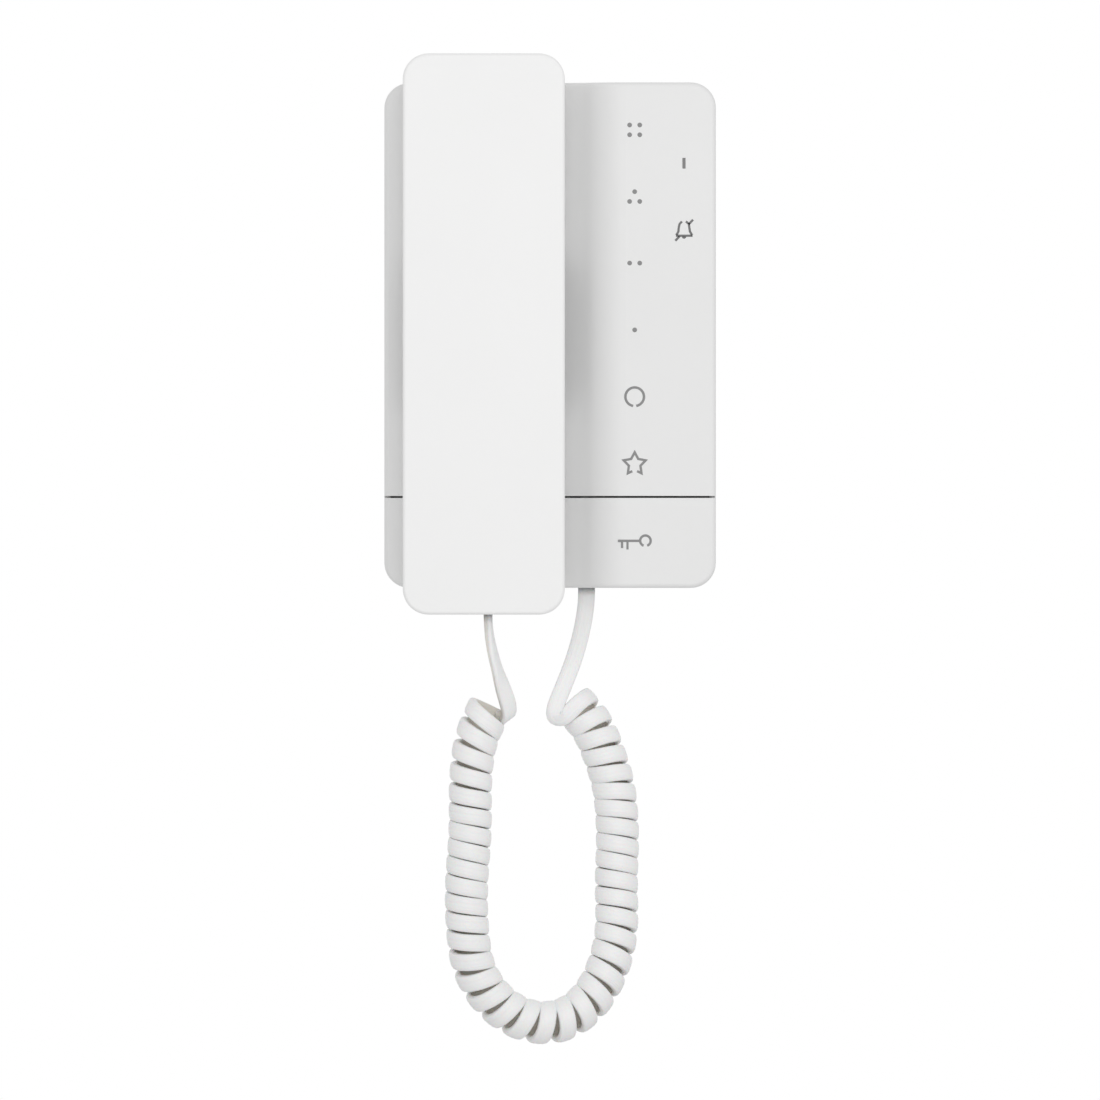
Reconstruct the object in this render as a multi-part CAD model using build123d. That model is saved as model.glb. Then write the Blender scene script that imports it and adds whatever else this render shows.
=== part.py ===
from build123d import *
from bisect import bisect_left
from math import cos, pi, radians, sin, sqrt, tan
import os

# An intercom wall telephone: a wall unit, a handset that hangs on its left side and a curly cord
# between them.
# Millimetres. The back of the wall unit is the plane y = 0, the front looks towards -Y and +Z is up.
# A depth is a distance in front of the wall, so a point at depth d has y = -d.

# Wall unit
base_width = 105.0
base_height = 160.0
base_corner = 8.0
face_depth = 24.0  # right side, where the signs are
valley_depth = 13.0  # left side, behind the handset
valley_foot_x = 0.0
valley_top_x = 24.0
edge_round = 1.4
outline_slack = 2.0  # an edge this near the outline belongs to it
shell_wall = 2.0
seam_depth = 6.5  # where the front parts meet the rear housing
key_gap_z = -51.2
key_gap = 0.66
wall_gap = 0.3  # the rim of the rear housing stands this far off the wall

# Clearances
running_fit = 0.05  # radial, of pins and plungers
loose_fit = 0.3  # between pieces of different bodies
slip_fit = 0.1  # between pieces that are pushed together
overrun = 2.0  # cuts run this far past a face

# Wall bracket, a steel plate
bracket_width = 98.0
bracket_height = 132.0
bracket_thick = 1.5
bracket_corner = 4.0
slot_width = 4.3
slot_length = 9.0
box_pitch_upright = 60.0
box_pitch_level = 83.5
hook_tab_width = 10.0
hook_tab_height = 6.0
hook_tab_x = 31.0
hook_tab_zs = (34.0, -44.0)
hook_slot_drop = 1.0
cable_x = -20.0
cable_z = 54.0
cable_width = 24.0
cable_height = 16.0
cable_corner = 2.0

# Rear housing
back_wall = 2.0
lip_wall = 1.0
lip_height = 1.5
vent_width = 2.0
vent_length = 16.0
vent_pitch = 5.0
vent_count = 4
vent_z = -20.0

# Screws that hold the front cover, driven from behind
cover_screw_d = 2.9
cover_screw_length = 6.5
cover_screw_head_d = 5.4
cover_screw_head_h = 1.5
cover_screw_seat_depth = 3.2
cover_post_d = 6.5
cover_boss_depth = 6.0
cover_screw_places = ((-40.0, 73.0), (40.0, 73.0), (-45.5, -45.0), (44.0, -46.5))

# Main board and what is on it
board_left_x = 3.0
board_right_x = 39.0
board_low_z = -72.0
board_high_z = 66.0
board_thick = 1.6
board_depth = 7.0
board_notch_x = 18.6
board_notch_z = -57.0
board_screw_d = 2.2
board_screw_length = 4.5
board_screw_head_d = 4.2
board_screw_head_h = 1.4
board_boss_d = 6.0
board_screw_places = ((8.0, 60.0), (34.5, 46.0), (8.0, -50.0), (34.5, -67.0))
terminal_width = 15.0
terminal_height = 9.0
terminal_rise = 10.0
terminal_x = 29.0
terminal_z = 59.5
terminal_ways = 4
terminal_screw_d = 2.6
terminal_wire_d = 2.0
terminal_screw_sink = 3.3
terminal_wire_rise = 3.3
capacitor_d = 8.0
capacitor_rise = 10.5
capacitor_x = 30.0
capacitor_z = 30.0
chip_width = 12.0
chip_height = 10.0
chip_rise = 1.7
chip_x = 27.0
chip_z = 5.0
choke_width = 9.0
choke_rise = 2.5
choke_corner = 2.2
choke_x = 14.0
choke_z = -36.0

# Touch board behind the signs, its link to the main board, and the status light
touch_left_x = 24.5
touch_from_side = 3.5  # from its right edge to the side of the wall unit
touch_low_z = -42.5
touch_high_z = 69.0
touch_thick = 1.0
link_width = 12.7
link_height = 2.5
link_x = 31.0
link_z = -22.0
light_from_side = 10.1
light_z = 54.4
light_width = 1.0
light_height = 3.4
led_width = 1.6
led_height = 3.2
led_rise = 1.1

# Door key, the strip under the gap line, hinged near its lower edge
key_pivot_depth = 8.2
key_pivot_z = -71.0
key_pin_d = 3.0
key_pin_length = 4.6
key_turn = 1.4  # degrees
key_lug_thick = 3.0
key_lug_height = 6.0
key_lip_depth = 4.0
key_post_d = 4.5
key_switch_x = 27.0
key_switch_z = -64.5
key_switch_size = 6.0
key_switch_body = 3.5
key_switch_button_d = 3.4
key_switch_button = 1.5
key_spring_x = -28.0
key_spring_width = 8.0
key_spring_thick = 0.4
key_spring_foot = 5.0
key_spring_low_z = -74.0
key_spring_high_z = -58.0

# Ringer
ringer_x = -22.0
ringer_z = -10.0
ringer_d = 32.0
ringer_rim = 2.0
ringer_magnet_d = 20.0
ringer_magnet = 4.0
ringer_slot = 2.0
ringer_slot_pitch = 4.5
ringer_slot_lengths = (16.0, 22.0, 24.0, 22.0, 16.0)

# Hook plunger, pushed in by the handset
plunger_x = -11.0
plunger_z = 38.0
plunger_d = 6.0
plunger_travel = 4.0
plunger_flange_d = 8.6
plunger_flange = 1.0
plunger_bore_d = 4.0
plunger_crown = 1.0
spring_wire = 0.5
spring_d = 3.5
hook_switch_width = 5.0
hook_switch_height = 12.0
hook_switch_rise = 5.8
hook_lever_width = 3.0
hook_lever_thick = 0.3
hook_lever_reach = 1.0

# Cradle: rests that carry the handset and pegs that locate it
rest_rise = 0.8
rest_width = 30.0
rest_height = 4.0
rest_corner = 1.3
rest_zs = (74.0, -46.5)
peg_width = 8.0
peg_height = 5.0
peg_length = 9.0
peg_round = 1.0
peg_places = ((-31.5, 38.0), (-20.9, -38.0))

# Handset
hand_x = -20.9
hand_z = 0.2
hand_width = 51.2
hand_height = 177.2
hand_corner = 8.2
hand_face_depth = 44.0
hand_split_depth = 35.0
hand_wall = 2.0
hand_edge_round = 1.0
hand_step = 0.8  # the rear shell is this much smaller all round
grip_depth = 20.0
grip_half = 11.0
grip_end = 31.0
rear_round = 2.5
hand_lip = 1.5
ear_z = 63.0
mouth_z = -61.0
ear_hole_d = 2.4
ear_ring_radii = (5.0, 10.0)
ear_ring_counts = (4, 8)
mouth_slot_width = 1.6
mouth_slot_length = 7.0
hand_screw_z = 7.0
hand_screw_d = 2.9
hand_screw_length = 15.0
hand_screw_head_d = 5.4
hand_screw_head_h = 1.6
hand_screw_sink = 2.0
hand_boss_d = 9.0
hand_boss_depth = 31.5
capsule_d = 34.0
capsule_rise = 8.0
capsule_step_d = 24.0
capsule_step = 3.0
gasket_thick = 1.0
gasket_width = 4.0
collar_wall = 1.5
collar_rise = 6.0
mic_d = 9.7
mic_rise = 4.5
boot_wall = 1.6
boot_floor = 1.0

# Cord, its plugs and jacks
cord_d = 4.2
cord_sides = 5
coil_d = 13.6
coil_turns = 38
coil_start_phase = -97.0  # degrees round the axis, 0 looks to the front
coil_end_phase = 12.0
coil_exit_run = 2.6  # from the coil's end to the lead's first bend
# how far apart the curls lie: share of the coil's length, share of their mean distance
coil_spacing = ((0.0, 1.0), (0.05, 1.055), (0.12, 0.98), (0.3, 0.956), (0.38, 1.1), (0.5, 1.11),
                (0.62, 1.07), (0.76, 0.926), (0.9, 0.925), (1.0, 0.943))
plug_width = 7.6
plug_thick = 5.4
plug_length = 12.0
plug_chamfer = 0.7
jack_wall = 0.9
jack_width = 11.0
jack_length = 15.0
cord_x = 11.6  # where the cord leaves the wall unit
hand_cord_x = -19.6
hand_cord_setback = 13.0  # from the handset's face back to the cord
cord_exit_run = 4.6  # straight length below each plug
bend_share = 0.45  # an arc takes this share of the shorter run beside it

# The cord's route between its two straight ends: x, depth and z of points chosen by hand,
# from the handset to the wall unit
hand_lead_route = (
    (-18.7, 31.8, -98.4), (-17.3, 33.6, -103.8), (-15.2, 35.6, -108.2), (-13.4, 36.9, -112.0),
    (-12.8, 36.8, -114.8), (-12.9, 35.4, -117.3),
)
coil_axis_route = (
    (-18.8, 27.0, -117.4), (-21.6, 27.0, -122.8), (-24.2, 27.0, -130.6), (-25.3, 27.0, -142.0),
    (-25.1, 26.5, -156.8),
    (-26.6, 26.0, -174.2), (-26.4, 25.2, -188.8), (-25.4, 24.0, -200.5), (-19.3, 22.6, -210.8),
    (-8.6, 21.0, -217.2), (3.6, 19.2, -217.6), (13.6, 17.4, -211.5), (19.4, 15.8, -201.0),
    (21.6, 14.4, -188.5), (20.9, 13.2, -172.7), (21.6, 12.5, -158.4), (20.8, 12.0, -144.1),
    (18.6, 12.0, -135.6), (15.6, 12.0, -127.3), (12.3, 12.0, -121.9), (8.9, 12.0, -118.6),
)
base_lead_route = (
    (1.2, 18.7, -123.0), (-1.6, 18.8, -121.9), (-2.9, 18.3, -119.2), (-2.4, 17.5, -116.0),
    (-0.5, 16.7, -112.8), (2.2, 15.6, -109.4), (5.5, 13.5, -103.6), (8.4, 11.0, -97.0),
    (10.5, 8.4, -90.6),
)

# Worked out from the sizes above
cover_low_z = key_gap_z + key_gap / 2
key_high_z = key_gap_z - key_gap / 2
base_low_z = -base_height / 2
valley_r = ((face_depth - valley_depth) ** 2 + (valley_top_x - valley_foot_x) ** 2) / (
    4 * (face_depth - valley_depth)
)
floor_depth = bracket_thick + back_wall
board_front = board_depth + board_thick
inner_face = face_depth - shell_wall
inner_valley = valley_depth - shell_wall
touch_depth = inner_face - touch_thick
touch_right_x = base_width / 2 - touch_from_side
light_x = base_width / 2 - light_from_side
cradle_depth = valley_depth + rest_rise
cord_depth = floor_depth + jack_wall + slip_fit + plug_thick / 2
hand_low_z = hand_z - hand_height / 2
hand_cord_depth = hand_face_depth - hand_cord_setback
coil_r = (coil_d - cord_d) / 2
hand_skin = hand_step + hand_wall + lip_wall + 2 * slip_fit


def at_depth(depth, x=0.0, z=0.0):
    """Upright plane facing the front, at a depth from the wall."""
    return Plane.XZ.offset(depth).location * Pos(x, z)


def block(width, height, back, front, x=0.0, z=0.0, corner=0.0):
    """Upright plate or bar between two depths, with rounded corners if asked."""
    outline = RectangleRounded(width, height, corner) if corner else Rectangle(width, height)
    return extrude(at_depth(back, x, z) * outline, amount=front - back)


def rod(diameter, back, front, x=0.0, z=0.0):
    """Round bar that points at the front."""
    return extrude(at_depth(back, x, z) * Circle(diameter / 2), amount=front - back)


def face_section(inset, back):
    """Cross section of the wall unit seen from above: low on the left, an S curve, high on the right."""
    half = base_width / 2 - inset
    low, high = -(valley_depth - inset), -(face_depth - inset)
    low_centre = Vector(valley_foot_x, -(valley_depth + valley_r))
    high_centre = Vector(valley_top_x, -(face_depth - valley_r))
    share = (valley_r + inset) / (2 * valley_r)
    middle = low_centre + (high_centre - low_centre) * share
    rise = TangentArc((valley_foot_x, low), middle, tangent=(1, 0))
    level = TangentArc(middle, (valley_top_x, high), tangent=rise % 1)
    start = Polyline((valley_foot_x, low), (-half, low), (-half, -back), (half, -back), (half, high),
                     (valley_top_x, high))
    return make_face(Curve() + [rise, level, start])


def base_form(inset, back, low_z, high_z):
    """Space inside the wall unit's skin, moved in by a wall, between two heights."""
    profile = Pos(0, 0, low_z) * face_section(inset, back)
    outline = block(base_width - 2 * inset, base_height - 2 * inset, back - overrun,
                    face_depth + overrun, corner=base_corner - inset)
    return extrude(profile, amount=high_z - low_z, dir=(0, 0, 1)) & outline


def base_skin(back):
    """Outer form of the front parts, with its front edges rounded."""
    form = base_form(0, back, base_low_z, -base_low_z)
    front = [e for e in form.edges() if min(-v.Y for v in e.vertices()) > valley_depth - edge_round]
    return fillet([e for e in front if on_outline(e.center())], edge_round)


def on_outline(point):
    """Whether a point lies on the outline of the wall unit."""
    half_width, half_height = base_width / 2, base_height / 2
    beside = max(abs(point.X) - (half_width - base_corner), 0)
    above = max(abs(point.Z) - (half_height - base_corner), 0)
    if beside and above:
        return abs(sqrt(beside ** 2 + above ** 2) - base_corner) < outline_slack
    return max(beside, above) > base_corner - outline_slack


def key_travel_at(z):
    """How far the door key moves back at a height when it is pressed."""
    return (z - key_pivot_z) * sin(radians(key_turn))


def make_wall_bracket():
    plate = block(bracket_width, bracket_height, 0, bracket_thick, corner=bracket_corner)
    for side in (-1, 1):
        upright = Rot(0, 0, 90) * SlotOverall(slot_length, slot_width)
        plate -= extrude(at_depth(-overrun, 0, side * box_pitch_upright / 2) * upright,
                         amount=bracket_thick + 2 * overrun)
        level = SlotOverall(slot_length, slot_width)
        plate -= extrude(at_depth(-overrun, side * box_pitch_level / 2) * level,
                         amount=bracket_thick + 2 * overrun)
        for z in hook_tab_zs:
            x = side * hook_tab_x
            leg_front = floor_depth + loose_fit + bracket_thick
            plate += block(hook_tab_width, bracket_thick, bracket_thick, leg_front, x, z)
            plate += block(hook_tab_width, hook_tab_height, leg_front - bracket_thick, leg_front,
                           x, z + (hook_tab_height - bracket_thick) / 2)
    plate -= block(cable_width, cable_height, -overrun, bracket_thick + overrun, cable_x, cable_z,
                   corner=cable_corner)
    return plate


def make_rear_housing():
    wall, gap = shell_wall, loose_fit
    pan = block(base_width, base_height, wall_gap, seam_depth, corner=base_corner)
    pan = fillet(pan.faces().sort_by(Axis.Y)[-1].edges(), edge_round / 2)
    pan -= block(base_width - 2 * wall, base_height - 2 * wall, floor_depth, seam_depth + overrun,
                 corner=base_corner - wall)
    pan -= block(bracket_width + 2 * gap, bracket_height + 2 * gap, wall_gap - overrun, bracket_thick,
                 corner=bracket_corner + gap)
    # tongue that the front cover slips over
    lip_out, lip_in = wall + slip_fit, wall + slip_fit + lip_wall
    lip = block(base_width - 2 * lip_out, base_height - 2 * lip_out, floor_depth, seam_depth + lip_height,
                corner=base_corner - lip_out)
    lip -= block(base_width - 2 * lip_in, base_height - 2 * lip_in, floor_depth, seam_depth + lip_height,
                 corner=base_corner - lip_in)
    lip_low_z = cover_low_z + wall + gap
    pan += lip & block(base_width, -base_low_z - lip_low_z, floor_depth, seam_depth + lip_height,
                       z=(lip_low_z - base_low_z) / 2)
    for x, z in cover_screw_places:
        pan += rod(cover_post_d, floor_depth, cover_boss_depth, x, z)
        pan -= rod(cover_screw_head_d + 2 * slip_fit, wall_gap - overrun, cover_screw_seat_depth, x, z)
        pan -= rod(cover_screw_d + 2 * slip_fit, wall_gap, cover_boss_depth + lip_height + overrun, x, z)
    for x, z in board_screw_places:
        pan += rod(board_boss_d, floor_depth, board_depth, x, z)
        pan -= rod(board_screw_d, board_front - board_screw_length - slip_fit, board_depth + overrun, x, z)
    for side in (-1, 1):
        for z in hook_tab_zs:
            slot_high = hook_tab_height + hook_slot_drop + gap
            pan -= block(hook_tab_width + 2 * gap, slot_high, 0, floor_depth + overrun, side * hook_tab_x,
                         z + (slot_high - bracket_thick) / 2 - hook_slot_drop)
        pan += key_lug(side)
    pan -= block(cable_width, cable_height, -overrun, floor_depth + overrun, cable_x, cable_z,
                 corner=cable_corner)
    magnet_back = inner_valley - ringer_rim - ringer_magnet
    pan += rod(ringer_magnet_d / 2, floor_depth, magnet_back, ringer_x, ringer_z)
    # notch for the plug in the lower wall
    pan -= block(plug_width + 2 * gap, 2 * wall + overrun, cord_depth - plug_thick / 2 - slip_fit,
                 seam_depth + overrun, cord_x, base_low_z)
    for i in range(vent_count):
        z = vent_z + (i - (vent_count - 1) / 2) * vent_pitch
        pan -= block(vent_length, vent_width, 0, floor_depth + overrun, cord_x + vent_length / 2, z)
    return pan


def key_lug(side):
    """Ear of the rear housing with the hole that a hinge pin of the door key turns in."""
    x = side * (base_width / 2 - shell_wall - 2 * loose_fit - key_lug_thick / 2)
    lug = block(key_lug_thick, key_lug_height, floor_depth, inner_valley - 2 * loose_fit, x, key_pivot_z)
    hole = Location((x - key_lug_thick, -key_pivot_depth, key_pivot_z), (0, 90, 0)) * Cylinder(
        key_pin_d / 2 + running_fit, 2 * key_lug_thick, align=(Align.CENTER, Align.CENTER, Align.MIN))
    return lug - hole


def make_front_cover():
    high_z = -base_low_z
    skin = base_skin(seam_depth)
    cover = skin - block(base_width + overrun, cover_low_z - base_low_z + overrun, 0,
                         face_depth + overrun, z=(cover_low_z + base_low_z - overrun) / 2)
    cover -= base_form(shell_wall, seam_depth - overrun, cover_low_z + shell_wall, high_z)
    # the lower wall stops short of the main board
    cover -= block(base_width - 2 * shell_wall, 2 * shell_wall + overrun, 0, board_front + board_thick,
                   z=cover_low_z)
    for x, z in cover_screw_places:
        front = inner_valley if x < valley_foot_x else inner_face
        cover += rod(cover_post_d, cover_boss_depth, front + shell_wall / 2, x, z)
        cover -= rod(cover_screw_d - 2 * slip_fit, cover_boss_depth - overrun,
                     cover_screw_seat_depth + cover_screw_length + loose_fit, x, z)
    for i, length in enumerate(ringer_slot_lengths):
        z = ringer_z + (i - (len(ringer_slot_lengths) - 1) / 2) * ringer_slot_pitch
        slot = SlotOverall(length, ringer_slot)
        cover -= extrude(at_depth(inner_valley - overrun, ringer_x, z) * slot,
                         amount=shell_wall + 2 * overrun)
    cover -= rod(plunger_d + 2 * running_fit, inner_valley - overrun, valley_depth + overrun,
                 plunger_x, plunger_z)
    for z in rest_zs:
        cover += block(rest_width, rest_height, inner_valley + shell_wall / 2, cradle_depth, hand_x, z,
                       corner=rest_corner)
    for x, z in peg_places:
        peg = block(peg_width, peg_height, inner_valley + shell_wall / 2, valley_depth + peg_length, x, z)
        cover += chamfer(peg.faces().sort_by(Axis.Y)[0].edges(), peg_round)
    cover -= block(light_width, light_height, inner_face - overrun, face_depth + overrun, light_x, light_z)
    return cover


def make_door_key():
    back = seam_depth + loose_fit + key_travel_at(key_high_z)
    skin = base_skin(back)
    key = skin - block(base_width + overrun, -base_low_z - key_high_z + overrun, 0,
                       face_depth + overrun, z=(key_high_z - base_low_z + overrun) / 2)
    key -= base_form(shell_wall, back - overrun, base_low_z, key_high_z - shell_wall)
    # the upper wall is only a lip
    lip_cut = base_form(shell_wall, back - overrun, key_high_z - 2 * shell_wall, key_high_z + overrun)
    key -= lip_cut & (Pos(0, key_lip_depth, 0) * base_form(0, back - overrun, base_low_z, -base_low_z))
    for side in (-1, 1):
        start = base_width / 2 - shell_wall - key_pin_length
        pin = Cylinder(key_pin_d / 2, key_pin_length + shell_wall / 2,
                       align=(Align.CENTER, Align.CENTER, Align.MIN))
        place = Location((side * start, -key_pivot_depth, key_pivot_z), (0, side * 90, 0))
        key += place * pin
    switch_top = board_front + key_switch_body + key_switch_button
    key += rod(key_post_d, switch_top + key_travel_at(key_switch_z) + running_fit,
               inner_face + shell_wall / 2, key_switch_x, key_switch_z)
    # notch round the plug
    key -= block(plug_width + 4 * loose_fit, 2 * shell_wall + overrun, back - overrun,
                 cord_depth + plug_thick / 2 + 2 * loose_fit, cord_x, base_low_z)
    return key


def make_key_spring():
    """Bent strip that pushes the door key forward again."""
    top = inner_valley - slip_fit
    low, high = key_spring_low_z, key_spring_high_z
    foot, thick = key_spring_foot, key_spring_thick
    line = [(low, floor_depth), (low + foot, floor_depth), (high - foot, top - thick), (high, top - thick)]
    ahead = [(z, depth + thick) for z, depth in reversed(line)]
    strip = Polyline([(0, -depth, z) for z, depth in line + ahead], close=True)
    return Pos(key_spring_x, 0, 0) * extrude(make_face(strip), amount=key_spring_width / 2, both=True,
                                             dir=(1, 0, 0))


def make_main_board():
    width, height = board_right_x - board_left_x, board_high_z - board_low_z
    board = block(width, height, board_depth, board_front, (board_left_x + board_right_x) / 2,
                  (board_low_z + board_high_z) / 2)
    notch_width, notch_height = board_notch_x - board_left_x, board_notch_z - board_low_z
    board -= block(2 * notch_width, 2 * notch_height, board_depth - overrun, board_front + overrun,
                   board_left_x, board_low_z)
    for x, z in board_screw_places:
        board -= rod(board_screw_d + 2 * slip_fit, board_depth - overrun, board_front + overrun, x, z)
    return board


def make_board_parts():
    """The larger parts on the main board: a capacitor, a chip and a choke."""
    capacitor = rod(capacitor_d, board_front, board_front + capacitor_rise, capacitor_x, capacitor_z)
    chip = block(chip_width, chip_height, board_front, board_front + chip_rise, chip_x, chip_z)
    choke = block(choke_width, choke_width, board_front, board_front + choke_rise, choke_x, choke_z,
                  corner=choke_corner)
    return [capacitor, chip, choke]


def make_terminal_block():
    front = board_front + terminal_rise
    body = block(terminal_width, terminal_height, board_front, front, terminal_x, terminal_z)
    pitch = terminal_width / terminal_ways
    for i in range(terminal_ways):
        x = terminal_x + (i - (terminal_ways - 1) / 2) * pitch
        body -= rod(terminal_screw_d, front - terminal_screw_sink, front + overrun, x, terminal_z)
        wire = Location((x, -(board_front + terminal_wire_rise), terminal_z - terminal_height / 2))
        body -= wire * Cylinder(terminal_wire_d / 2, terminal_height)
    return body


def make_touch_board():
    width, height = touch_right_x - touch_left_x, touch_high_z - touch_low_z
    board = block(width, height, touch_depth, inner_face, (touch_left_x + touch_right_x) / 2,
                  (touch_low_z + touch_high_z) / 2)
    return board - block(light_width, light_height, touch_depth - overrun, inner_face + overrun,
                         light_x, light_z)


def make_board_link():
    return block(link_width, link_height, board_front, touch_depth, link_x, link_z)


def make_status_lens():
    return block(light_width - 2 * running_fit, light_height - 2 * running_fit, touch_depth, face_depth,
                 light_x, light_z)


def make_status_led():
    return block(led_width, led_height, touch_depth - led_rise, touch_depth, light_x, light_z)


def make_key_switch():
    front = board_front + key_switch_body
    body = block(key_switch_size, key_switch_size, board_front, front, key_switch_x, key_switch_z)
    return body + rod(key_switch_button_d, front, front + key_switch_button, key_switch_x, key_switch_z)


def make_ringer():
    rim = rod(ringer_d, inner_valley - ringer_rim, inner_valley, ringer_x, ringer_z)
    return rim + rod(ringer_magnet_d, inner_valley - ringer_rim - ringer_magnet,
                     inner_valley - ringer_rim, ringer_x, ringer_z)


def make_hook_plunger():
    """Pin with a flange, drawn pushed in, as the hanging handset holds it."""
    flange_front = inner_valley - plunger_travel - slip_fit
    crown = cradle_depth - loose_fit
    body = rod(plunger_d, flange_front - plunger_flange, crown, plunger_x, plunger_z)
    body = fillet(body.faces().sort_by(Axis.Y)[0].edges(), plunger_crown)
    body += rod(plunger_flange_d, flange_front - plunger_flange, flange_front, plunger_x, plunger_z)
    return body - rod(plunger_bore_d, 0, crown - 2 * plunger_crown, plunger_x, plunger_z)


def make_plunger_spring():
    """Outer form of the small spring inside the plunger."""
    front = cradle_depth - loose_fit - 2 * plunger_crown - slip_fit
    coil = rod(spring_d, floor_depth, front, plunger_x, plunger_z)
    return coil - rod(spring_d - 2 * spring_wire, floor_depth - overrun, front + overrun,
                      plunger_x, plunger_z)


def make_hook_switch():
    """Switch beside the plunger, with a lever under the plunger's flange."""
    flange_back = inner_valley - plunger_travel - slip_fit - plunger_flange
    x = plunger_x - plunger_flange_d / 2 - 2 * loose_fit - hook_switch_width / 2
    body = block(hook_switch_width, hook_switch_height, floor_depth, floor_depth + hook_switch_rise,
                 x, plunger_z)
    lever_front = flange_back - slip_fit
    return body + block(hook_lever_width, hook_lever_width, lever_front - hook_lever_thick, lever_front,
                        x + hook_switch_width / 2 + hook_lever_reach, plunger_z)


def screw(diameter, length, head_d, head_h, x, seat, z, away):
    """Pan-head screw. Its head sits on the seat and its shank goes forward (1) or back (-1)."""
    shank = rod(diameter, min(seat, seat + away * length), max(seat, seat + away * length), x, z)
    head = rod(head_d, min(seat, seat - away * head_h), max(seat, seat - away * head_h), x, z)
    return shank + head


def make_cover_screws():
    return [screw(cover_screw_d - 4 * slip_fit, cover_screw_length, cover_screw_head_d, cover_screw_head_h,
                  x, cover_screw_seat_depth, z, 1) for x, z in cover_screw_places]


def make_board_screws():
    return [screw(board_screw_d - 2 * slip_fit, board_screw_length, board_screw_head_d, board_screw_head_h,
                  x, board_front, z, -1) for x, z in board_screw_places]


def grip_face(inset, front):
    """Side profile as a face in the upright plane x = 0, with arcs between the caps and the grip."""
    low, high = hand_low_z + hand_step + inset, hand_low_z + hand_height - hand_step - inset
    near, far = cradle_depth + inset, grip_depth + inset
    drop, run = far - near, grip_end - grip_half
    radius = (drop ** 2 + run ** 2) / (4 * drop)
    lines = []
    for side in (-1, 1):
        near_centre = Vector(0, -(near - inset + radius), hand_z + side * grip_end)
        far_centre = Vector(0, -(far - inset - radius), hand_z + side * grip_half)
        middle = near_centre + (far_centre - near_centre) * ((radius - inset) / (2 * radius))
        rise = TangentArc(Vector(0, -near, hand_z + side * grip_end), middle, tangent=(0, 0, -side))
        level = TangentArc(middle, Vector(0, -far, hand_z + side * grip_half), tangent=rise % 1)
        lines += [rise, level]
    lines.append(Line((0, -far, hand_z - grip_half), (0, -far, hand_z + grip_half)))
    lines.append(Polyline((0, -near, hand_z + grip_end), (0, -near, high), (0, -front, high),
                          (0, -front, low), (0, -near, low), (0, -near, hand_z - grip_end)))
    return make_face(Curve() + lines)


def hand_rear_form(inset, front):
    """Space inside the rear shell's skin, moved in by a wall."""
    width = hand_width - 2 * hand_step - 2 * inset
    height = hand_height - 2 * hand_step - 2 * inset
    body = Pos(hand_x, 0, 0) * extrude(grip_face(inset, front), amount=width / 2, both=True, dir=(1, 0, 0))
    return body & block(width, height, 0, front + overrun, hand_x, hand_z,
                        corner=hand_corner - hand_step - inset)


def make_handset_rear_shell():
    wall = hand_wall
    outer = hand_rear_form(0, hand_split_depth)
    rim = [e for e in outer.edges() if max(-v.Y for v in e.vertices()) < grip_depth + rear_round
           and hand_outline_edge(e)]
    outer = fillet(rim, rear_round)
    shell = outer - hand_rear_form(wall, hand_split_depth + overrun)
    back = cradle_depth
    inside = back + wall
    # collar round the receiver
    collar_d = capsule_d + 2 * slip_fit
    collar = rod(collar_d + 2 * collar_wall, back + wall / 2, inside + collar_rise, hand_x, ear_z)
    shell += collar - rod(collar_d, inside, inside + collar_rise + overrun, hand_x, ear_z)
    boot_d = mic_d + 2 * boot_wall + 2 * slip_fit
    ring = rod(boot_d + 2 * collar_wall, back + wall / 2, inside + mic_rise, hand_x, mouth_z)
    shell += ring - rod(boot_d, inside, inside + mic_rise + overrun, hand_x, mouth_z)
    for side in (-1, 1):
        z = hand_z + side * hand_screw_z
        boss = rod(hand_boss_d, grip_depth + wall / 2, hand_boss_depth, hand_x, z)
        shell += boss
        shell -= rod(hand_screw_head_d + 2 * slip_fit, grip_depth - overrun,
                     grip_depth + hand_screw_sink, hand_x, z)
        shell -= rod(hand_screw_d + 2 * slip_fit, grip_depth, hand_boss_depth + overrun, hand_x, z)
    shell -= rod(ear_hole_d, back - overrun, inside + overrun, hand_x, ear_z)
    for radius, count in zip(ear_ring_radii, ear_ring_counts):
        for i in range(count):
            turn = 2 * pi * i / count
            shell -= rod(ear_hole_d, back - overrun, inside + overrun, hand_x + radius * cos(turn),
                         ear_z + radius * sin(turn))
    shell -= block(mouth_slot_length, mouth_slot_width, back - overrun, inside + overrun, hand_x, mouth_z)
    jack_back = hand_cord_depth - plug_width / 2 - jack_wall - slip_fit
    shell += block(jack_width / 2, jack_length / 2, back + wall / 2, jack_back, hand_cord_x,
                   hand_low_z + hand_skin + jack_length / 2)
    for x, z in peg_places:
        shell -= block(peg_width + 2 * loose_fit, peg_height + 2 * loose_fit, back - overrun,
                       inside + overrun, x, z)
    shell -= hand_plug_notch()
    return shell


def hand_outline_edge(edge):
    """Whether an edge of the rear shell lies on its outline, seen from the front."""
    point = edge.center()
    width, height = hand_width - 2 * hand_step, hand_height - 2 * hand_step
    beside = abs(abs(point.X - hand_x) - width / 2) < rear_round
    return beside or abs(point.Z - hand_z) > height / 2 - hand_corner


def hand_plug_notch():
    """Passage through the lower wall of both handset shells for the plug."""
    return block(plug_thick + 2 * slip_fit, 2 * hand_skin + overrun,
                 hand_cord_depth - plug_width / 2 - slip_fit, hand_cord_depth + plug_width / 2 + slip_fit,
                 hand_cord_x, hand_low_z)


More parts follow.
